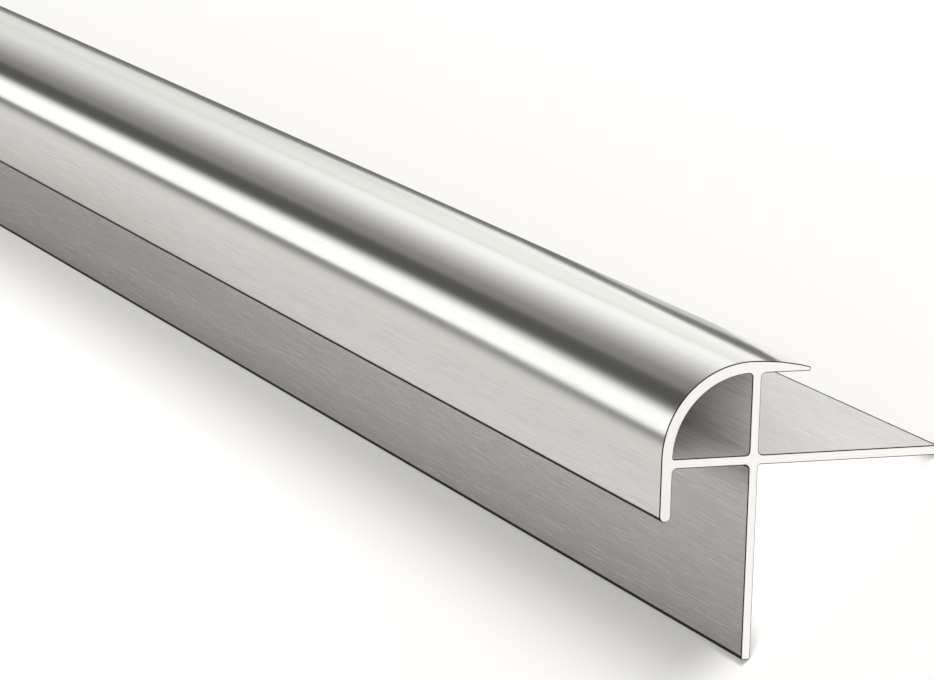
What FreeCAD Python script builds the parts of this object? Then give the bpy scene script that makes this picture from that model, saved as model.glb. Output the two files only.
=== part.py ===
"""External corner trim for cladding panels: one aluminium extrusion, cut square at both ends.

The section has two flanges that cross at right angles, a quarter-round nose that closes a hollow
over the crossing, and a lip on each side of the nose. Each lip and the flange behind it hold the
edge of one panel. The trim lies along Y, at rest on the tips of its flanges with the nose up.
"""

import FreeCAD, Part
import os
from math import atan2, cos, radians, sin, sqrt

# Driving dimensions of the section, in millimetres
length = 2440.0
panel_slot_width = 10.0
flange_thickness = 1.2
flange_reach = 24.1
shell_thickness = 1.5
lip_reach = 6.5
tapered_lip_tip = 0.5

# Radii of its corners
slot_corner_radius = 0.6
hollow_corner_radius = 0.5
hollow_tight_radius = 0.2
wall_corner_radius = 0.3
flange_edge_radius = 0.2
tapered_edge_radius = 0.15

# Sizes that follow, measured from the centre of the crossing
half_flange = flange_thickness / 2
slot_outer = half_flange + panel_slot_width
face_outer = slot_outer + shell_thickness
flange_end = half_flange + flange_reach
lip_end = half_flange + lip_reach
nose_outer_radius = panel_slot_width + shell_thickness

# The resting attitude: both flange tips on the floor, so the section is turned by half a right angle
resting_turn = 45.0
crossing_height = (flange_end + half_flange) / sqrt(2) - (sqrt(2) - 1) * flange_edge_radius

# How near a drawn corner has to lie to the end of an edge for the edge to be its own
match_tolerance = 1e-4


def at(across, up):
    """A point of the section, which is drawn in the XZ plane at the near end."""
    return FreeCAD.Vector(across, 0, up)


def extrude(edges):
    """The closed outline of the edges, run out over the whole length."""
    return Part.Face(Part.Wire(edges)).extrude(FreeCAD.Vector(0, length, 0))


def plate(left, right, bottom, top):
    """A flat bar with a rectangular section."""
    corners = [at(left, bottom), at(right, bottom), at(right, top), at(left, top)]
    return extrude([Part.makeLine(a, b) for a, b in zip(corners, corners[1:] + corners[:1])])


def arc(start, middle, end):
    return Part.Arc(start, middle, end).toShape()


def on_nose(radius, angle):
    """A point of the nose, at an angle in degrees from the side face round to the top face."""
    turn = radians(angle)
    return at(-half_flange - radius * cos(turn), half_flange + radius * sin(turn))


def nose_shell():
    """The quarter-round shell that joins the two faces and closes the hollow."""
    inner, outer = panel_slot_width, nose_outer_radius
    return extrude([
        Part.makeLine(on_nose(inner, 0), on_nose(outer, 0)),
        arc(on_nose(outer, 0), on_nose(outer, 45), on_nose(outer, 90)),
        Part.makeLine(on_nose(outer, 90), on_nose(inner, 90)),
        arc(on_nose(inner, 90), on_nose(inner, 45), on_nose(inner, 0)),
    ])


def parallel_lip():
    """The side face and its lip: even in thickness, with a fully rounded end."""
    radius = shell_thickness / 2
    middle = (slot_outer + face_outer) / 2
    round_start = -lip_end + radius
    return extrude([
        Part.makeLine(at(-face_outer, half_flange), at(-face_outer, round_start)),
        arc(at(-face_outer, round_start), at(-middle, -lip_end), at(-slot_outer, round_start)),
        Part.makeLine(at(-slot_outer, round_start), at(-slot_outer, half_flange)),
        Part.makeLine(at(-slot_outer, half_flange), at(-face_outer, half_flange)),
    ])


def tapered_lip():
    """The top face and its lip: flat below, and above a wide arc that leaves the nose in line
    with it and falls to a thin tip."""
    run = lip_end + half_flange
    fall = shell_thickness - tapered_lip_tip
    radius = (run ** 2 + fall ** 2) / (2 * fall)
    half_turn = atan2(run, radius - fall) / 2
    crown = at(-half_flange, face_outer)
    halfway = crown + at(radius * sin(half_turn), -radius * (1 - cos(half_turn)))
    tip = at(lip_end, slot_outer + tapered_lip_tip)
    return extrude([
        arc(crown, halfway, tip),
        Part.makeLine(tip, at(lip_end, slot_outer)),
        Part.makeLine(at(lip_end, slot_outer), at(-half_flange, slot_outer)),
        Part.makeLine(at(-half_flange, slot_outer), crown),
    ])


def round_corners(solid, radius, corners):
    """Rounds the lengthwise edges of the solid that start at the given corners of the section."""
    starts = [at(*corner) for corner in corners]
    lengthwise = [edge for edge in solid.Edges if edge.BoundBox.YLength > length / 2]
    edges = [
        edge for edge in lengthwise
        if any(vertex.Point.isEqual(start, match_tolerance) for vertex in edge.Vertexes for start in starts)
    ]
    return solid.makeFillet(radius, edges)


def corner_trim():
    upright = plate(-half_flange, half_flange, -flange_end, slot_outer)
    level = plate(-slot_outer, flange_end, -half_flange, half_flange)
    trim = upright.multiFuse([level, nose_shell(), parallel_lip(), tapered_lip()]).removeSplitter()
    trim = trim.Solids[0]

    trim = round_corners(trim, slot_corner_radius, [
        (-half_flange, -half_flange), (-slot_outer, -half_flange),
        (half_flange, half_flange), (half_flange, slot_outer),
    ])
    trim = round_corners(trim, hollow_corner_radius, [
        (-half_flange, half_flange), (-half_flange, slot_outer),
    ])
    trim = round_corners(trim, hollow_tight_radius, [(-slot_outer, half_flange)])
    trim = round_corners(trim, wall_corner_radius, [(half_flange, -half_flange)])
    trim = round_corners(trim, flange_edge_radius, [
        (-half_flange, -flange_end), (half_flange, -flange_end),
        (flange_end, -half_flange), (flange_end, half_flange),
    ])
    trim = round_corners(trim, tapered_edge_radius, [
        (lip_end, slot_outer), (lip_end, slot_outer + tapered_lip_tip),
    ])

    trim.translate(FreeCAD.Vector(0, -length / 2, 0))
    trim.rotate(at(0, 0), FreeCAD.Vector(0, 1, 0), resting_turn)
    trim.translate(at(0, crossing_height))
    return trim


os.makedirs("parts", exist_ok=True)
corner_trim().exportStep("parts/corner_trim.step")
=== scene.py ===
"""External corner trim for 10 mm cladding panels, as one brushed aluminium extrusion on a pale floor."""

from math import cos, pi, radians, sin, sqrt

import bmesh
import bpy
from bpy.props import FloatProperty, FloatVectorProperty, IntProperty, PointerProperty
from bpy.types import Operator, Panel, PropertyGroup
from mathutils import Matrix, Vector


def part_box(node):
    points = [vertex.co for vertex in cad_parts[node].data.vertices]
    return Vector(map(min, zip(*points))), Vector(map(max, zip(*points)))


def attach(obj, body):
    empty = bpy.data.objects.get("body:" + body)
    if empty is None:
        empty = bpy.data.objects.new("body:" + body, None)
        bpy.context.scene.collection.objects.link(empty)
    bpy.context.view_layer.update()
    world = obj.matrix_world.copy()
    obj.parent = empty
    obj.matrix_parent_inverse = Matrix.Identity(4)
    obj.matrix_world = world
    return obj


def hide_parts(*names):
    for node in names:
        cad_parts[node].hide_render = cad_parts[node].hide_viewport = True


bl_info = {
    "name": "External corner trim",
    "version": (1, 0, 0),
    "blender": (4, 5, 0),
    "location": "3D View > Sidebar > Corner Trim",
    "description": "Models an extruded corner trim with its finishes, and a plain studio round it",
    "category": "Add Mesh",
}

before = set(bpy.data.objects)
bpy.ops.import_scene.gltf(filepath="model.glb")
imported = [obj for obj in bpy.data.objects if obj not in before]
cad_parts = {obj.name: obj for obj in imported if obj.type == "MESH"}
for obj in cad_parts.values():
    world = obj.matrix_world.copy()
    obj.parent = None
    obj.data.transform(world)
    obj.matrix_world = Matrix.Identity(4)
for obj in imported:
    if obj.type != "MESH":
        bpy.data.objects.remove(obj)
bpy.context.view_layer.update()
LOW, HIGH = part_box("corner_trim")


class TrimSizes(PropertyGroup):
    """Sizes of the section, and of the length it is cut to"""

    length: FloatProperty(
        name="Length", description="Cut length of the trim", default=HIGH[1] - LOW[1], unit="LENGTH")
    panel_slot: FloatProperty(
        name="Panel slot", description="Width of each slot, which holds the edge of a panel",
        default=0.010, unit="LENGTH")
    flange_thickness: FloatProperty(
        name="Flange thickness", description="Thickness of the two crossing flanges",
        default=0.0012, unit="LENGTH")
    flange_reach: FloatProperty(
        name="Flange reach", description="How far each flange runs past the other",
        default=0.0241, unit="LENGTH")
    shell_thickness: FloatProperty(
        name="Shell thickness", description="Thickness of the nose and of the side lip",
        default=0.0015, unit="LENGTH")
    lip_reach: FloatProperty(
        name="Lip reach", description="How far each lip covers its panel", default=0.0065, unit="LENGTH")
    lip_tip: FloatProperty(
        name="Lip tip", description="Thickness at the tip of the tapered lip",
        default=0.0005, unit="LENGTH")
    slot_radius: FloatProperty(
        name="Slot corners", description="Radius in the corners of the panel slots",
        default=0.0006, unit="LENGTH")
    hollow_radius: FloatProperty(
        name="Hollow corners", description="Radius in two corners of the hollow",
        default=0.0005, unit="LENGTH")
    hollow_tight_radius: FloatProperty(
        name="Tight hollow corner", description="Radius in the hollow's corner by the side lip",
        default=0.0002, unit="LENGTH")
    wall_radius: FloatProperty(
        name="Wall corner", description="Radius in the corner that sits on the wall",
        default=0.0003, unit="LENGTH")
    flange_edge_radius: FloatProperty(
        name="Flange edges", description="Radius along the outer edges of the flanges",
        default=0.0002, unit="LENGTH")
    lip_tip_radius: FloatProperty(
        name="Lip tip edges", description="Radius along the edges of the tapered lip's tip",
        default=0.00015, unit="LENGTH")
    cut_chamfer: FloatProperty(
        name="Cut chamfer", description="Width of the deburred edge round each sawn end",
        default=0.00012, unit="LENGTH")
    # The strip beside each flange's rounded edge is painted near black, as contact shadow and dark
    # reflection
    painted_shadow_foot: FloatProperty(
        name="Dull foot", description="Width of the dull line beside the rounded edge of each flange",
        default=0.0003, unit="LENGTH")
    nose_steps: IntProperty(
        name="Nose steps", description="Facets round the quarter circle of the nose", default=48, min=6)


class TrimFinish(PropertyGroup):
    """Colours, gloss and brushing of the aluminium, with painted dark edges, partly painted shade on the
    flanges and partly painted light in the hollow
    """

    nose_colour: FloatVectorProperty(
        name="Nose colour", description="Bright metal of the nose and the tapered lip",
        subtype="COLOR", size=3, min=0, max=1, default=(0.80, 0.795, 0.77))
    nose_roughness: FloatProperty(
        name="Nose roughness", description="Roughness of the nose and the tapered lip",
        subtype="FACTOR", default=0.11, min=0, max=1)
    lip_colour: FloatVectorProperty(
        name="Lip colour", description="Brushed metal of the side lip", subtype="COLOR",
        size=3, min=0, max=1, default=(0.80, 0.79, 0.77))
    lip_roughness: FloatProperty(
        name="Lip roughness", description="Roughness of the side lip",
        subtype="FACTOR", default=0.17, min=0, max=1)
    # Darker than the nose and lips: partly a plainer mill finish, partly painted shade for the flanges'
    # darker reflections
    flange_colour: FloatVectorProperty(
        name="Flange colour", description="Metal of the flanges and slots", subtype="COLOR",
        size=3, min=0, max=1, default=(0.705, 0.695, 0.68))
    flange_roughness: FloatProperty(
        name="Flange roughness", description="Roughness of the flanges and slots",
        subtype="FACTOR", default=0.30, min=0, max=1)
    # Lighter than the rest of the metal: partly the die-drawn finish, partly painted light that
    # brightens the shaded hollow
    hollow_lightened_colour: FloatVectorProperty(
        name="Hollow colour", description="Metal inside the hollow, as it left the die",
        subtype="COLOR", size=3, min=0, max=1, default=(0.96, 0.935, 0.92))
    hollow_roughness: FloatProperty(
        name="Hollow roughness", description="Roughness inside the hollow",
        subtype="FACTOR", default=0.75, min=0, max=1)
    cut_colour: FloatVectorProperty(
        name="Cut colour", description="Metal of the sawn ends", subtype="COLOR",
        size=3, min=0, max=1, default=(0.98, 0.965, 0.945))
    cut_roughness: FloatProperty(
        name="Cut roughness", description="Roughness of the sawn ends",
        subtype="FACTOR", default=0.32, min=0, max=1)
    # Near black: the sawn ends' chamfers, the flanges' edges and the side lip's end are painted dark, as
    # shade and dark reflection along those edges
    painted_shade_edge_colour: FloatVectorProperty(
        name="Edge colour", description="Dull metal of the deburred ends and the flanges' edges",
        subtype="COLOR", size=3, min=0, max=1, default=(0.05, 0.05, 0.05))
    edge_roughness: FloatProperty(
        name="Edge roughness", description="Roughness of the dull metal",
        subtype="FACTOR", default=0.5, min=0, max=1)
    streak_width: FloatProperty(
        name="Streak width", description="Width of the brushed streaks", default=0.0001, unit="LENGTH")
    streak_length: FloatProperty(
        name="Streak length", description="Length of the brushed streaks", default=0.03, unit="LENGTH")


class StudioSettings(PropertyGroup):
    """Camera, lamps and floor round the trim"""

    camera_place: FloatVectorProperty(
        name="Camera place", description="Camera's place from the near end of the trim at floor level",
        subtype="TRANSLATION", unit="LENGTH", size=3, default=(-0.0893, -0.5386, 0.2875))
    camera_azimuth: FloatProperty(
        name="Camera azimuth", description="Heading of the view, clockwise from the trim's length",
        subtype="ANGLE", default=radians(7.85))
    camera_dip: FloatProperty(
        name="Camera dip", description="How far the view looks down", subtype="ANGLE",
        default=radians(23.08))
    camera_roll: FloatProperty(
        name="Camera roll", description="Turn of the camera about its view, clockwise",
        subtype="ANGLE", default=radians(43.73))
    camera_lens: FloatProperty(
        name="Camera lens", description="Focal length in millimetres on a 36 mm wide sensor",
        default=195.4, unit="CAMERA")
    sun_heading: FloatProperty(
        name="Right lamp heading", description="Where the distant lamp is, clockwise from the far end",
        subtype="ANGLE", default=radians(117))
    sun_height: FloatProperty(
        name="Right lamp height", description="Height of the distant lamp over the horizon",
        subtype="ANGLE", default=radians(57))
    sun_width: FloatProperty(
        name="Right lamp width", description="Apparent width of the distant lamp",
        subtype="ANGLE", default=radians(27))
    sun_strength: FloatProperty(
        name="Right lamp strength", description="Strength of the distant lamp", default=2.8, min=0)
    spot_power: FloatProperty(
        name="Left lamp power", description="Power of the lamp that lights the floor from the left",
        default=9.7, min=0, unit="POWER")
    floor_size: FloatProperty(
        name="Floor size", description="Side of the square floor", default=16.0, unit="LENGTH")
    floor_colour: FloatVectorProperty(
        name="Floor colour", description="Colour of the floor", subtype="COLOR",
        size=3, min=0, max=1, default=(0.775, 0.764, 0.748))
    floor_glow: FloatProperty(
        name="Floor glow", description="Share of the floor's look that no shadow darkens",
        subtype="FACTOR", default=0.25, min=0, max=1)


# The section is modelled with X across and Y up from the middle of the crossing, and its length is Z
MERGE_DISTANCE = 1e-6
STRAIGHT_ANGLE = radians(0.05)
SMOOTH_ANGLE = radians(30)
# Facets round the small radii of the section
CORNER_STEPS = 8
EDGE_STEPS = 5
TIP_STEPS = 4
# Share of its half thickness that rounds the side lip's end, so that the two roundings stay apart
FULL_ROUND = 0.999

# How much of a face's normal points along the trim: at least so much on a sawn end and on a deburred
# edge, and at most so much on a face that runs along the trim
END_LEAN = 0.9
CHAMFER_LEAN = 0.3
SIDE_LEAN = 0.1
# How much of its normal points up on a face of the right flange's edge, and down on one of the side
# lip's end, for the faces that are painted near black as shade and dark reflection
UPWARD = 0.1
DOWNWARD = 0.25


def select_where(trim, kind, test):
    """Selects the vertices, edges or faces of the mesh in edit mode that pass the test."""
    bpy.ops.mesh.select_mode(type={"verts": "VERT", "edges": "EDGE", "faces": "FACE"}[kind])
    bpy.ops.mesh.select_all(action="DESELECT")
    mesh = bmesh.from_edit_mesh(trim.data)
    chosen = [element for element in getattr(mesh, kind) if test(element)]
    for element in chosen:
        element.select_set(True)
    bmesh.update_edit_mesh(trim.data)
    return len(chosen)


def pick(trim, kind, wanted, test):
    """Selects what passes the test, and raises an error unless that is the wanted number."""
    found = select_where(trim, kind, test)
    if found != wanted:
        raise RuntimeError(f"{found} {kind} of {trim.name} pass the test, and {wanted} should")


def middle(edge):
    """The middle of an edge."""
    return (edge.verts[0].co + edge.verts[1].co) / 2


def near(point, across, up):
    """Whether a point, seen along the length, lies at a place of the section."""
    return abs(point.x - across) < 2 * MERGE_DISTANCE and abs(point.y - up) < 2 * MERGE_DISTANCE


def pull(trim, across, up, move_across, move_up):
    """Extrudes the edge of the flat section that has its middle at the given place."""
    pick(trim, "edges", 1, lambda edge: near(middle(edge), across, up))
    bpy.ops.mesh.extrude_region_move(TRANSFORM_OT_translate={"value": (move_across, move_up, 0)})


def drop(trim, across, up, fall):
    """Lowers the vertex of the flat section at the given place."""
    pick(trim, "verts", 1, lambda vertex: near(vertex.co, across, up))
    bpy.ops.transform.translate(value=(0, -fall, 0))


def section_places(s):
    """How far the flange's face, the slot's outer side, the shell's face, the flange's edge and the
    lip's tip are from the middle of the crossing."""
    half = s.flange_thickness / 2
    slot_outer = half + s.panel_slot
    return half, slot_outer, slot_outer + s.shell_thickness, half + s.flange_reach, half + s.lip_reach


def lip_fall(s, run):
    """How far the arc on the tapered lip has fallen at a distance past the top of the nose."""
    whole_run = s.flange_thickness + s.lip_reach
    whole_fall = s.shell_thickness - s.lip_tip
    radius = (whole_run ** 2 + whole_fall ** 2) / (2 * whole_fall)
    return radius - sqrt(radius ** 2 - run ** 2)


def draw_section(trim, s):
    """Draws the section out from the crossing of the flanges, as a flat mesh."""
    half, slot_outer, face_outer, _, _ = section_places(s)
    shell_middle = (slot_outer + face_outer) / 2

    # The flanges, the walls of the hollow, and the ends of the shell on those walls
    pull(trim, half, 0, s.flange_reach, 0)
    pull(trim, 0, -half, 0, -s.flange_reach)
    pull(trim, -half, 0, -s.panel_slot, 0)
    pull(trim, 0, half, 0, s.panel_slot)
    pull(trim, -slot_outer, 0, -s.shell_thickness, 0)
    pull(trim, 0, slot_outer, 0, s.shell_thickness)

    # The side lip
    pull(trim, -shell_middle, -half, 0, -s.lip_reach)

    # The tapered lip, in steps down its arc
    steps = s.nose_steps // 4
    drop(trim, half, face_outer, lip_fall(s, s.flange_thickness))
    for step in range(steps):
        start = half + s.lip_reach * step / steps
        end = half + s.lip_reach * (step + 1) / steps
        fall_before = lip_fall(s, start + half)
        fall_after = lip_fall(s, end + half)
        pull(trim, start, (slot_outer + face_outer - fall_before) / 2, end - start, 0)
        drop(trim, end, face_outer - fall_before, fall_after - fall_before)

    # The nose, a quarter turn about the crossing's inner corner
    pick(trim, "edges", 1, lambda edge: near(middle(edge), -shell_middle, half))
    bpy.ops.mesh.spin(
        steps=s.nose_steps, angle=radians(90), center=(-half, half, 0), axis=(0, 0, 1))
    bpy.ops.mesh.select_all(action="SELECT")
    bpy.ops.mesh.remove_doubles(threshold=MERGE_DISTANCE)


def draw_out(trim, s):
    """Extrudes the section to the trim's length, less the deburred edges that come on its ends."""
    bpy.ops.mesh.select_all(action="SELECT")
    bpy.ops.mesh.dissolve_limited(angle_limit=STRAIGHT_ANGLE)
    bpy.ops.mesh.select_all(action="SELECT")
    bpy.ops.mesh.extrude_region_move(
        TRANSFORM_OT_translate={"value": (0, 0, 2 * s.cut_chamfer - s.length)})
    bpy.ops.mesh.select_all(action="SELECT")
    bpy.ops.mesh.normals_make_consistent(inside=False)

    # The first step of the hollow's arc is shorter than the rounding at the slot beside it
    half = s.flange_thickness / 2
    step = radians(90) / s.nose_steps
    past_corner = (-half - s.panel_slot * sin(step), half + s.panel_slot * cos(step))
    pick(trim, "edges", 1, lambda edge: all(near(vertex.co, *past_corner) for vertex in edge.verts))
    bpy.ops.mesh.dissolve_edges(use_verts=True)


def round_along(trim, radius, segments, corners):
    """Rounds the lengthwise edges at the given corners of the section."""

    def chosen(edge):
        start, end = (vertex.co for vertex in edge.verts)
        lengthwise = abs(start.z - end.z) > radius and abs(start.x - end.x) < MERGE_DISTANCE
        return lengthwise and any(near(start, *corner) and near(end, *corner) for corner in corners)

    pick(trim, "edges", len(corners), chosen)
    bpy.ops.mesh.bevel(
        offset_type="OFFSET", offset=radius, segments=segments, profile=0.5,
        affect="EDGES", clamp_overlap=False)


def round_section(trim, s):
    """Rounds the corners of the slots and the hollow, and the edges of the flanges and lips."""
    half, slot_outer, face_outer, flange_end, lip_end = section_places(s)
    round_along(trim, s.slot_radius, CORNER_STEPS, [
        (-half, -half), (-slot_outer, -half), (half, half), (half, slot_outer)])
    round_along(trim, s.hollow_radius, CORNER_STEPS, [(-half, half), (-half, slot_outer)])
    round_along(trim, s.hollow_tight_radius, EDGE_STEPS, [(-slot_outer, half)])
    round_along(trim, s.wall_radius, EDGE_STEPS, [(half, -half)])
    round_along(trim, s.flange_edge_radius, EDGE_STEPS, [
        (-half, -flange_end), (half, -flange_end), (flange_end, -half), (flange_end, half)])
    round_along(trim, s.shell_thickness / 2 * FULL_ROUND, CORNER_STEPS, [
        (-face_outer, -lip_end), (-slot_outer, -lip_end)])
    round_along(trim, s.lip_tip_radius, TIP_STEPS, [
        (lip_end, slot_outer), (lip_end, slot_outer + s.lip_tip)])


def painted_line_start(s):
    """How far from the middle of the crossing each flange's near black line starts, a painted shadow and
    dark reflection.
    """
    return s.flange_thickness / 2 + s.flange_reach - s.flange_edge_radius - s.painted_shadow_foot


def cut_painted_dark_lines(s):
    """Cuts the flanges' faces where the near black lines beside their edges start, painted shadow and
    dark reflection.
    """
    start = painted_line_start(s)
    for place, normal in (((0, -start, 0), (0, 1, 0)), ((start, 0, 0), (1, 0, 0))):
        bpy.ops.mesh.select_all(action="SELECT")
        bpy.ops.mesh.bisect(plane_co=place, plane_no=normal)
    bpy.ops.mesh.select_all(action="SELECT")
    bpy.ops.mesh.remove_doubles(threshold=2 * MERGE_DISTANCE)


def lay_finishes(trim, s, look):
    """Gives each part of the surface its finish or its painted dark edge, by its place in the section
    and its normal.
    """
    half, slot_outer, _, _, _ = section_places(s)
    start = painted_line_start(s)

    def from_nose_axis(place):
        return Vector((place.x + half, place.y - half)).length

    def on_shell(place, normal):
        past_slot = slot_outer + 10 * MERGE_DISTANCE
        in_nose = (place.x < -half and place.y > half
                   and from_nose_axis(place) > s.panel_slot + s.shell_thickness / 2)
        return in_nose or place.x < -past_slot or place.y > past_slot

    def on_side_lip(place, normal):
        return place.x < -slot_outer and place.y < half + MERGE_DISTANCE

    def in_hollow(place, normal):
        return (place.x < -half + MERGE_DISTANCE and place.y > half - MERGE_DISTANCE
                and from_nose_axis(place) < s.panel_slot + s.shell_thickness / 2)

    def on_sawn_end(place, normal):
        return abs(normal.z) > END_LEAN

    def on_dark_painted_chamfer(place, normal):
        return CHAMFER_LEAN < abs(normal.z) < END_LEAN

    # The faces below and those beside the chamfers take the near black metal: painted shade and dark
    # reflection along the edges
    def on_lower_flange_edge(place, normal):
        return place.y < -start and abs(normal.z) < SIDE_LEAN

    def on_right_flange_edge(place, normal):
        return place.x > start and normal.y > UPWARD and abs(normal.z) < SIDE_LEAN

    def on_side_lip_end(place, normal):
        return place.x < -slot_outer and normal.y < -DOWNWARD and abs(normal.z) < SIDE_LEAN

    # Partly the mill finish and partly painted shade: darker than the nose and lips
    mill_and_painted_shade = brushed("mill_aluminium", look.flange_colour, look.flange_roughness, look,
                   contrast=0.12, relief=0.015)
    polished = brushed("polished_aluminium", look.nose_colour, look.nose_roughness, look,
                       contrast=0.03, relief=0.03)
    side_lip = brushed("brushed_aluminium", look.lip_colour, look.lip_roughness, look,
                       contrast=0.09, relief=0.1)
    # Partly the die-drawn finish and partly painted light: its near white colour brightens the shaded
    # hollow
    die_drawn_lightened = brushed("die_drawn_aluminium", look.hollow_lightened_colour, look.hollow_roughness, look,
                        contrast=0.2, relief=0.3)
    sawn = grained("sawn_aluminium", look.cut_colour, look.cut_roughness, contrast=0.03)
    # Near black metal: painted shade and dark reflection on the chamfers and edges
    deburred_painted_dark = grained("deburred_aluminium", look.painted_shade_edge_colour, look.edge_roughness, contrast=0.3)
    materials = (mill_and_painted_shade, polished, side_lip, die_drawn_lightened, sawn, deburred_painted_dark)
    for material in materials:
        bpy.ops.object.material_slot_add()
        trim.material_slots[-1].material = material

    # The flanges and slots keep the first finish, and each later rule takes over from those before
    for material, belongs in (
        (polished, on_shell),
        (side_lip, on_side_lip),
        (die_drawn_lightened, in_hollow),
        (sawn, on_sawn_end),
        # The chamfers, the flanges' edges with the strips beside them, and the side lip's end are
        # painted near black, as shade and dark reflection
        (deburred_painted_dark, on_dark_painted_chamfer),
        (deburred_painted_dark, on_lower_flange_edge),
        (deburred_painted_dark, on_right_flange_edge),
        (deburred_painted_dark, on_side_lip_end),
    ):
        select_where(trim, "faces", lambda face: belongs(face.calc_center_median(), face.normal))
        trim.active_material_index = materials.index(material)
        bpy.ops.object.material_slot_assign()


# The streaks: noise values between which they range, the shares of hairlines and bands added to them,
# and by how much they change the gloss
STREAK_RANGE = (0.65, 1.15)
HAIRLINE_SHARE = 0.5
BAND_SHARE = 0.3
GLOSS_CHANGE = 0.15
# The grain of sawn and deburred metal, and the noise values between which it ranges
GRAIN_SIZE = 0.0004
GRAIN_RANGE = (0.3, 0.7)


def node(tree, kind, **settings):
    """Adds a shader node and sets its attributes, or its inputs where no attribute has the name."""
    new = tree.nodes.new(kind)
    for name, value in settings.items():
        if hasattr(new, name):
            setattr(new, name, value)
        else:
            new.inputs[name.replace("_", " ")].default_value = value
    return new


def spread(tree, value, low, high, to_low, to_high):
    """Maps a value between low and high onto a range, whose ends hold for what lies outside."""
    ranged = node(tree, "ShaderNodeMapRange")
    for name, number in (("From Min", low), ("From Max", high), ("To Min", to_low), ("To Max", to_high)):
        ranged.inputs[name].default_value = number
    tree.links.new(value, ranged.inputs["Value"])
    return ranged.outputs["Result"]


def product(tree, first, second):
    """The product of two values."""
    both = node(tree, "ShaderNodeMath", operation="MULTIPLY")
    tree.links.new(first, both.inputs[0])
    tree.links.new(second, both.inputs[1])
    return both.outputs[0]


def weighted(tree, first, second, share):
    """The first value plus a share of the second."""
    both = node(tree, "ShaderNodeMath", operation="MULTIPLY_ADD")
    tree.links.new(second, both.inputs[0])
    both.inputs[1].default_value = share
    tree.links.new(first, both.inputs[2])
    return both.outputs[0]


def streaks(tree, place, width, length, turn, detail):
    """Streaks along the trim, as a noise drawn out lengthwise and turned a little."""
    drawn = node(tree, "ShaderNodeMapping", vector_type="TEXTURE")
    drawn.inputs["Scale"].default_value = (1, length / width, 1)
    drawn.inputs["Rotation"].default_value = (0, 0, turn)
    noise = node(tree, "ShaderNodeTexNoise", Scale=1 / width, Detail=detail, Roughness=0.6)
    tree.links.new(place, drawn.inputs["Vector"])
    tree.links.new(drawn.outputs["Vector"], noise.inputs["Vector"])
    return noise.outputs["Fac"]


def tinted(tree, colour, share, shader):
    """Colours a shader with a varying share of one colour."""
    tint = node(tree, "ShaderNodeVectorMath", operation="SCALE")
    tint.inputs[0].default_value = colour
    tree.links.new(share, tint.inputs["Scale"])
    tree.links.new(tint.outputs["Vector"], shader.inputs["Base Color"])


def metal(name):
    """A plain metal, with what its pattern needs: its nodes, its shader and the place on the trim."""
    material = bpy.data.materials.new(name)
    material.use_nodes = True
    tree = material.node_tree
    shader = tree.nodes["Principled BSDF"]
    shader.inputs["Metallic"].default_value = 1.0
    return material, tree, shader, node(tree, "ShaderNodeTexCoord").outputs["Object"]


def brushed(name, colour, roughness, look, contrast, relief):
    """A metal with fine streaks along the trim, hairlines across them and broad soft bands."""
    material, tree, shader, place = metal(name)
    width, length = look.streak_width, look.streak_length
    fine = streaks(tree, place, width, length, radians(1), 3.0)
    hairlines = streaks(tree, place, 1.4 * width, 1.2 * length, radians(-1.2), 1.0)
    bands = streaks(tree, place, 30 * width, 12 * length, radians(0.5), 1.0)
    both = weighted(tree, weighted(tree, fine, hairlines, HAIRLINE_SHARE), bands, BAND_SHARE)
    tinted(tree, colour, spread(tree, both, *STREAK_RANGE, 1 - contrast, 1 + contrast), shader)
    gloss = spread(
        tree, both, *STREAK_RANGE, (1 + GLOSS_CHANGE) * roughness, (1 - GLOSS_CHANGE) * roughness)
    tree.links.new(gloss, shader.inputs["Roughness"])

    bump = node(tree, "ShaderNodeBump", Strength=relief, Distance=width / 10)
    tree.links.new(fine, bump.inputs["Height"])
    tree.links.new(bump.outputs["Normal"], shader.inputs["Normal"])
    return material


def grained(name, colour, roughness, contrast):
    """A metal with a fine even grain, as a saw or a file leaves it."""
    material, tree, shader, place = metal(name)
    shader.inputs["Roughness"].default_value = roughness
    grain = node(tree, "ShaderNodeTexNoise", Scale=1 / GRAIN_SIZE, Detail=3.0)
    tree.links.new(place, grain.inputs["Vector"])
    tinted(tree, colour, spread(tree, grain.outputs["Fac"], *GRAIN_RANGE, 1 - contrast, 1.0), shader)
    return material


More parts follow.
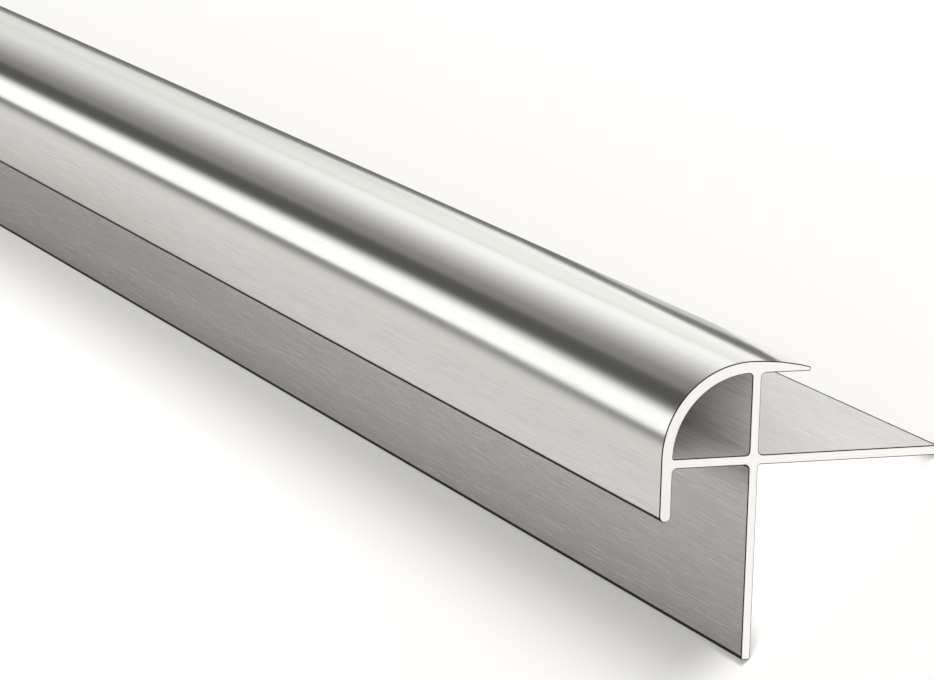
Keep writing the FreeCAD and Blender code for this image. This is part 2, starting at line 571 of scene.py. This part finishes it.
class CORNER_TRIM_OT_extrude(Operator):
    """Model the trim from its section, with rounded corners and deburred ends"""

    bl_idname = "corner_trim.extrude"
    bl_label = "Extrude the trim"

    def execute(self, context):
        s = context.scene.trim_sizes
        bpy.ops.object.select_all(action="DESELECT")
        bpy.ops.mesh.primitive_plane_add(size=s.flange_thickness, location=(0, 0, 0))
        trim = context.active_object
        trim.name = "brushed_trim"
        trim.data.name = trim.name
        bpy.ops.object.mode_set(mode="EDIT")
        draw_section(trim, s)
        draw_out(trim, s)
        round_section(trim, s)
        cut_painted_dark_lines(s)

        select_where(trim, "faces", lambda face: abs(face.normal.z) > END_LEAN)
        bpy.ops.mesh.inset(thickness=s.cut_chamfer, depth=s.cut_chamfer, use_even_offset=True)
        lay_finishes(trim, s, context.scene.trim_finish)
        bpy.ops.object.mode_set(mode="OBJECT")

        # It stands on the edges of both flanges, with the nose on top
        half, _, _, flange_end, _ = section_places(s)
        crossing = (flange_end + half) / sqrt(2) - (sqrt(2) - 1) * s.flange_edge_radius
        trim.rotation_euler = (radians(90), radians(45), 0)
        trim.location = (0, LOW[1] + s.cut_chamfer, LOW[2] + crossing)
        bpy.ops.object.transform_apply(location=True, rotation=True, scale=True)
        bpy.ops.object.shade_smooth_by_angle(angle=SMOOTH_ANGLE)
        bpy.ops.object.modifier_add(type="WEIGHTED_NORMAL")
        trim.modifiers[-1].keep_sharp = True
        bpy.ops.object.modifier_apply(modifier=trim.modifiers[-1].name)
        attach(trim, "root")
        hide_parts("corner_trim")
        return {"FINISHED"}


# Tints of the studio's light and of its cards
COOL = (1.0, 1.0, 0.985)
YELLOWISH = (1.0, 1.0, 0.97)
WARM = (1.0, 0.97, 0.955)
WARMER = (1.0, 0.96, 0.945)

# Light that the surroundings send, by the angle in degrees round the trim's length from overhead
# towards the tapered lip: long soft boxes and the gaps between them, all parallel to the trim
SURROUNDINGS = (
    (-180, 0.9), (-95, 0.62), (-80, 0.72), (-66, 0.79), (-54, 0.75), (-49, 0.53), (-44, 0.28),
    (-40, 0.25), (-38, 0.36), (-35, 1.15), (-31, 1.25), (-13.5, 1.25), (-8.5, 0.90),
    (-3, 0.34), (1, 0.13), (9, 0.10), (16, 0.12), (21, 0.25), (31, 0.31), (39, 0.44),
    (48, 0.61), (59, 0.82), (70, 1.03), (80, 1.14), (100, 1.0), (180, 0.9),
)
WARM_ANGLES = ((-180, -49), (15, 55))
PLAIN_LIGHT = (0.600, 0.592, 0.578)
# Plain light gives way to the boxes between these shares of a direction along the trim, where 1 is
# straight beyond the far end
BOXES_ALONG = (0.35, 0.75)
# The boxes lean, by the first of these turns at the first of these angles and by the second at the
# second. The lean fades out between these shares along the trim and between these angles round it
LEAN_ANGLES = (radians(-52), radians(-16))
LEAN = (radians(6.5), radians(11))
LEAN_ENDS_ALONG = (0.885, 0.913)
LEAN_ENDS_ROUND = (radians(-4), radians(26))
# Light from the right is lost between these shares of a direction along and across the trim, and the
# last value is the most of it that is lost
LOSS_ALONG = (0.915, 0.945)
LOSS_ACROSS = (0.17, 0.30)
LOSS = 0.26


def lit_surroundings(world):
    """Plain soft light, with soft boxes parallel to the trim beyond its far end."""
    world.use_nodes = True
    tree = world.node_tree
    background = tree.nodes["Background"]
    way = node(tree, "ShaderNodeTexCoord")
    split = node(tree, "ShaderNodeSeparateXYZ")
    turn = node(tree, "ShaderNodeMath", operation="ARCTAN2")
    boxes = node(tree, "ShaderNodeValToRGB")
    ramp = boxes.color_ramp
    while len(ramp.elements) > 1:
        ramp.elements.remove(ramp.elements[-1])
    for index, (angle, level) in enumerate(SURROUNDINGS):
        place = (angle + 180) / 360
        stop = ramp.elements[0] if index == 0 else ramp.elements.new(place)
        stop.position = place
        warm = any(low <= angle < high for low, high in WARM_ANGLES)
        stop.color = (*(level * share for share in (WARM if warm else COOL)), 1)
    tree.links.new(way.outputs["Generated"], split.inputs["Vector"])
    tree.links.new(split.outputs["X"], turn.inputs[0])
    tree.links.new(split.outputs["Z"], turn.inputs[1])

    # The boxes lean a little, so that their edges drift over the nose near its cut end
    share_leaning = product(
        tree, spread(tree, split.outputs["Y"], *LEAN_ENDS_ALONG, 1, 0),
        spread(tree, turn.outputs[0], *LEAN_ENDS_ROUND, 1, 0))
    lean = node(tree, "ShaderNodeMath", operation="MULTIPLY_ADD")
    tree.links.new(share_leaning, lean.inputs[0])
    tree.links.new(spread(tree, turn.outputs[0], *LEAN_ANGLES, *LEAN), lean.inputs[1])
    tree.links.new(turn.outputs[0], lean.inputs[2])
    tree.links.new(spread(tree, lean.outputs[0], -pi, pi, 0, 1), boxes.inputs["Fac"])

    # The right side falls off towards the far end
    loss = product(
        tree, spread(tree, split.outputs["Y"], *LOSS_ALONG, 0, 1),
        spread(tree, split.outputs["X"], *LOSS_ACROSS, 0, LOSS))
    kept = node(tree, "ShaderNodeMath", operation="SUBTRACT")
    kept.inputs[0].default_value = 1
    tree.links.new(loss, kept.inputs[1])
    faded = node(tree, "ShaderNodeVectorMath", operation="SCALE")
    tree.links.new(boxes.outputs["Color"], faded.inputs[0])
    tree.links.new(kept.outputs[0], faded.inputs["Scale"])

    beyond = node(tree, "ShaderNodeMix", data_type="RGBA")
    beyond.inputs["A"].default_value = (*PLAIN_LIGHT, 1)
    tree.links.new(spread(tree, split.outputs["Y"], *BOXES_ALONG, 0, 1), beyond.inputs["Factor"])
    tree.links.new(faded.outputs["Vector"], beyond.inputs["B"])

    # The camera sees plain white
    ray = node(tree, "ShaderNodeLightPath")
    seen = node(tree, "ShaderNodeMix", data_type="RGBA")
    seen.inputs["B"].default_value = (1, 1, 1, 1)
    tree.links.new(ray.outputs["Is Camera Ray"], seen.inputs["Factor"])
    tree.links.new(beyond.outputs["Result"], seen.inputs["A"])
    tree.links.new(seen.outputs["Result"], background.inputs["Color"])


def pale_floor(s):
    """A matt floor that the camera and the metal see as nearly white, with its shadows."""
    material = bpy.data.materials.new("pale_floor")
    material.use_nodes = True
    tree = material.node_tree
    tree.nodes.remove(tree.nodes["Principled BSDF"])
    matt = node(tree, "ShaderNodeBsdfDiffuse")
    matt.inputs["Color"].default_value = (*s.floor_colour, 1)
    glow = node(tree, "ShaderNodeEmission")
    ray = node(tree, "ShaderNodeLightPath")
    either = node(tree, "ShaderNodeMath", operation="MAXIMUM")
    share = node(tree, "ShaderNodeMath", operation="MULTIPLY")
    share.inputs[1].default_value = s.floor_glow
    mix = node(tree, "ShaderNodeMixShader")
    tree.links.new(ray.outputs["Is Camera Ray"], either.inputs[0])
    tree.links.new(ray.outputs["Is Glossy Ray"], either.inputs[1])
    tree.links.new(either.outputs[0], share.inputs[0])
    tree.links.new(share.outputs[0], mix.inputs["Fac"])
    tree.links.new(matt.outputs["BSDF"], mix.inputs[1])
    tree.links.new(glow.outputs["Emission"], mix.inputs[2])
    tree.links.new(mix.outputs["Shader"], tree.nodes["Material Output"].inputs["Surface"])
    return material


# Places of the lamps and the cards are measured from the middle of the trim's near end, at floor level
NEAR_END = Vector((0, LOW[1], LOW[2]))
SPOT_PLACE = Vector((-0.6, 0.5, 0.4))
SPOT_AIM = Vector((-0.02, 0.33, 0))
SPOT_ANGLE = radians(46)
SPOT_RADIUS = 0.03
# Small oblong lamps that face down until they are turned about the trim's length. The first two keep
# the floor under the flanges white, and the third lights the upright wall of the hollow: name, place,
# turn in degrees, width, length, power, and whether the metal reflects it
SMALL_LAMPS = (
    ("under_lamp", (0, 0.026, 0.003), 0, 0.027, 0.054, 0.0051, False),
    ("tip_lamp", (0.0146, 0.008, 0.0019), 45, 0.004, 0.02, 0.0002, False),
    ("hollow_lamp", (-0.0007, 0.010, 0.0256), -45, 0.003, 0.02, 0.00004, True),
)


def distant_lamp(s):
    """A broad lamp far off to the right, which lights the floor and casts the soft shadow."""
    bpy.ops.object.light_add(type="SUN", location=(0, 0, 1))
    lamp = bpy.context.active_object
    lamp.name = "right_lamp"
    level = cos(s.sun_height)
    towards = Vector((sin(s.sun_heading) * level, cos(s.sun_heading) * level, sin(s.sun_height)))
    lamp.rotation_euler = towards.to_track_quat("Z", "Y").to_euler()
    lamp.data.angle = s.sun_width
    lamp.data.energy = s.sun_strength
    lamp.visible_glossy = False


def spot_lamp(s):
    """A lamp on the left, aimed at the floor beside the trim."""
    bpy.ops.object.light_add(type="SPOT", location=NEAR_END + SPOT_PLACE)
    lamp = bpy.context.active_object
    lamp.name = "left_lamp"
    lamp.rotation_euler = (lamp.location - NEAR_END - SPOT_AIM).to_track_quat("Z", "Y").to_euler()
    lamp.data.spot_size = SPOT_ANGLE
    lamp.data.spot_blend = 1.0
    lamp.data.shadow_soft_size = SPOT_RADIUS
    lamp.data.energy = s.spot_power
    lamp.visible_glossy = False


def small_lamp(name, place, turn, width, length, power, reflected):
    """A small oblong lamp by the trim's near end."""
    bpy.ops.object.light_add(type="AREA", location=NEAR_END + Vector(place))
    lamp = bpy.context.active_object
    lamp.name = name
    lamp.rotation_euler = (0, radians(turn), 0)
    lamp.data.shape = "RECTANGLE"
    lamp.data.size = width
    lamp.data.size_y = length
    lamp.data.energy = power
    lamp.visible_camera = False
    lamp.visible_glossy = reflected


# Cards beside the trim that only its metal reflects. A swept card keeps its profile, in places across
# and up, all along the trim. A row of a lying or an upright card gives a distance from the near end,
# and the card's two sides there, across or up
CARDS_BEFORE = 0.2
CARDS_PAST = HIGH[1] - LOW[1] + 0.3
LEFT_CARD = ((-0.0178, 0.0002), (-0.050, 0.0002), (-0.051, 0.008), (-0.200, 0.008))
LEFT_BACK = ((-0.052, 0.008), (-0.053, 0.028))
UPRIGHT_PLACE = -0.0515
LEFT_STRIP = ((0.20, 0.0275, 0.0280), (0.34, 0.0225, 0.0310), (CARDS_PAST, 0.0225, 0.0310))
LEFT_EDGE = ((0.22, 0.0080, 0.0085), (0.38, 0.0080, 0.0115), (CARDS_PAST, 0.0080, 0.0130))
LEFT_TOP = ((0.22, 0.0310, 0.0320), (0.32, 0.0310, 0.0365), (CARDS_PAST, 0.0310, 0.0385))
LYING_HEIGHT = 0.0003
RIGHT_CARD = (
    (0.080, 0.0395, 0.068), (0.115, 0.038, 0.057), (0.137, 0.029, 0.047), (0.166, 0.024, 0.0395),
    (0.217, 0.021, 0.0395), (0.300, 0.021, 0.0430), (CARDS_PAST, 0.021, 0.0450))
SKIRT_CARD = (
    (0.080, 0.021, 0.0395), (0.115, 0.021, 0.038), (0.137, 0.021, 0.029), (0.166, 0.021, 0.024))
FAR_CARD_HEIGHT = 0.0005
FAR_CARD = ((0.16, 0.058, 2.5), (0.24, 0.045, 2.5), (CARDS_PAST + 5, 0.040, 2.5))
# The far card's level falls with the distance along the trim over the distance across
FADE_RATIOS = (2.0, 5.0)
FADE_LEVELS = (0.68, 0.57)


def swept(profile):
    """Pairs of corners of a card that keeps its profile all along the trim."""
    start, end = LOW[1] - CARDS_BEFORE, LOW[1] + CARDS_PAST
    return [((across, start, up), (across, end, up)) for across, up in profile]


def lying(rows, up):
    """Pairs of corners of a card that lies at one height."""
    return [((inner, LOW[1] + along, up), (outer, LOW[1] + along, up)) for along, inner, outer in rows]


def upright(rows):
    """Pairs of corners of a card that stands upright on the left."""
    return [((UPRIGHT_PLACE, LOW[1] + along, low), (UPRIGHT_PLACE, LOW[1] + along, high))
            for along, low, high in rows]


def matt_card(name, level, tint=(1, 1, 1)):
    """A matt material of one level, for a card."""
    material = bpy.data.materials.new(name)
    material.use_nodes = True
    shader = material.node_tree.nodes["Principled BSDF"]
    shader.inputs["Base Color"].default_value = (*(level * share for share in tint), 1)
    shader.inputs["Roughness"].default_value = 1.0
    shader.inputs["Specular IOR Level"].default_value = 0.0
    return material


def fading_card():
    """A pale matt material that turns greyer away from the trim's near end."""
    material = matt_card("fading_card", level=FADE_LEVELS[0])
    tree = material.node_tree
    place = node(tree, "ShaderNodeTexCoord")
    split = node(tree, "ShaderNodeSeparateXYZ")
    along = node(tree, "ShaderNodeMath", operation="SUBTRACT")
    along.inputs[1].default_value = LOW[1]
    ratio = node(tree, "ShaderNodeMath", operation="DIVIDE")
    tree.links.new(place.outputs["Object"], split.inputs["Vector"])
    tree.links.new(split.outputs["Y"], along.inputs[0])
    tree.links.new(along.outputs[0], ratio.inputs[0])
    tree.links.new(split.outputs["X"], ratio.inputs[1])
    level = spread(tree, ratio.outputs[0], *FADE_RATIOS, *FADE_LEVELS)
    tinted(tree, YELLOWISH, level, tree.nodes["Principled BSDF"])
    return material


def card(name, pairs, material):
    """A card from its pairs of corners, which only the trim's metal sees."""
    bpy.ops.object.select_all(action="DESELECT")
    bpy.ops.mesh.primitive_plane_add(size=1)
    new = bpy.context.active_object
    new.name = name
    bpy.ops.object.mode_set(mode="EDIT")
    bpy.ops.mesh.delete(type="VERT")
    mesh = bmesh.from_edit_mesh(new.data)
    rows = [[mesh.verts.new(corner) for corner in pair] for pair in pairs]
    for (first, second), (third, fourth) in zip(rows, rows[1:]):
        mesh.faces.new((first, second, fourth, third))
    bmesh.update_edit_mesh(new.data)
    bpy.ops.object.mode_set(mode="OBJECT")
    new.data.materials.append(material)
    new.visible_camera = new.visible_diffuse = new.visible_shadow = new.visible_transmission = False


def set_cards():
    """Sets the cards that only the trim's metal reflects: most stand for the gaps between the soft
    boxes, and the black and mid cards on the left are painted shade for the floor beside the flange.
    """
    black = matt_card("black_card", level=0.01)
    grey = matt_card("grey_card", level=0.11)
    # The black card and the mid card behind it stand in for the floor's shade beside the flange: painted
    # shade that only the metal's reflection shows
    card("left_card", swept(LEFT_CARD), black)
    card("left_back", swept(LEFT_BACK), matt_card("mid_card", level=0.51, tint=WARMER))
    card("left_strip", upright(LEFT_STRIP), matt_card("strip_card", level=0.36, tint=WARMER))
    card("left_edge", upright(LEFT_EDGE), grey)
    card("left_top", upright(LEFT_TOP), matt_card("top_card", level=0.63, tint=WARM))
    card("right_card", lying(RIGHT_CARD, LYING_HEIGHT), grey)
    card("skirt_card", lying(SKIRT_CARD, LYING_HEIGHT), matt_card("skirt_card", level=0.52))
    card("far_card", lying(FAR_CARD, FAR_CARD_HEIGHT), fading_card())


# The camera's lens is given for this width of sensor in millimetres, and it sees past this distance
SENSOR_WIDTH = 36.0
CLIP_START = 0.01


def set_camera(scene, s):
    """Sets the camera at the photograph's viewing angle."""
    bpy.ops.object.camera_add()
    camera = bpy.context.active_object
    camera.data.sensor_width = SENSOR_WIDTH
    camera.data.lens = s.camera_lens
    camera.data.clip_start = CLIP_START
    heading = Matrix.Rotation(-s.camera_azimuth, 4, "Z")
    tilt = Matrix.Rotation(radians(90) - s.camera_dip, 4, "X")
    roll = Matrix.Rotation(-s.camera_roll, 4, "Z")
    camera.matrix_world = (
        Matrix.Translation(NEAR_END + Vector(s.camera_place)) @ heading @ tilt @ roll)
    scene.camera = camera


class CORNER_TRIM_OT_studio(Operator):
    """Set up the pale floor, the soft light and the camera"""

    bl_idname = "corner_trim.studio"
    bl_label = "Set up the studio"

    def execute(self, context):
        s = context.scene.trim_studio
        bpy.ops.object.select_all(action="DESELECT")
        bpy.ops.mesh.primitive_plane_add(size=s.floor_size, location=(0, 0, LOW[2]))
        floor = context.active_object
        floor.name = "floor"
        floor.data.materials.append(pale_floor(s))

        context.scene.world = bpy.data.worlds.new("studio")
        lit_surroundings(context.scene.world)
        distant_lamp(s)
        spot_lamp(s)
        for settings in SMALL_LAMPS:
            small_lamp(*settings)
        set_cards()
        set_camera(context.scene, s)
        context.scene.view_settings.view_transform = "Standard"
        return {"FINISHED"}


class CORNER_TRIM_PT_steps(Panel):
    """The steps that make the trim, in the sidebar"""

    bl_idname = "CORNER_TRIM_PT_steps"
    bl_label = "Corner Trim"
    bl_space_type = "VIEW_3D"
    bl_region_type = "UI"
    bl_category = "Corner Trim"

    def draw(self, context):
        self.layout.operator("corner_trim.extrude")
        self.layout.operator("corner_trim.studio")


CLASSES = (
    TrimSizes, TrimFinish, StudioSettings, CORNER_TRIM_OT_extrude, CORNER_TRIM_OT_studio,
    CORNER_TRIM_PT_steps)


def register():
    for each in CLASSES:
        bpy.utils.register_class(each)
    bpy.types.Scene.trim_sizes = PointerProperty(type=TrimSizes)
    bpy.types.Scene.trim_finish = PointerProperty(type=TrimFinish)
    bpy.types.Scene.trim_studio = PointerProperty(type=StudioSettings)


def unregister():
    del bpy.types.Scene.trim_studio
    del bpy.types.Scene.trim_finish
    del bpy.types.Scene.trim_sizes
    for each in reversed(CLASSES):
        bpy.utils.unregister_class(each)


def main():
    register()
    bpy.ops.corner_trim.extrude()
    bpy.ops.corner_trim.studio()


if __name__ == "__main__":
    main()
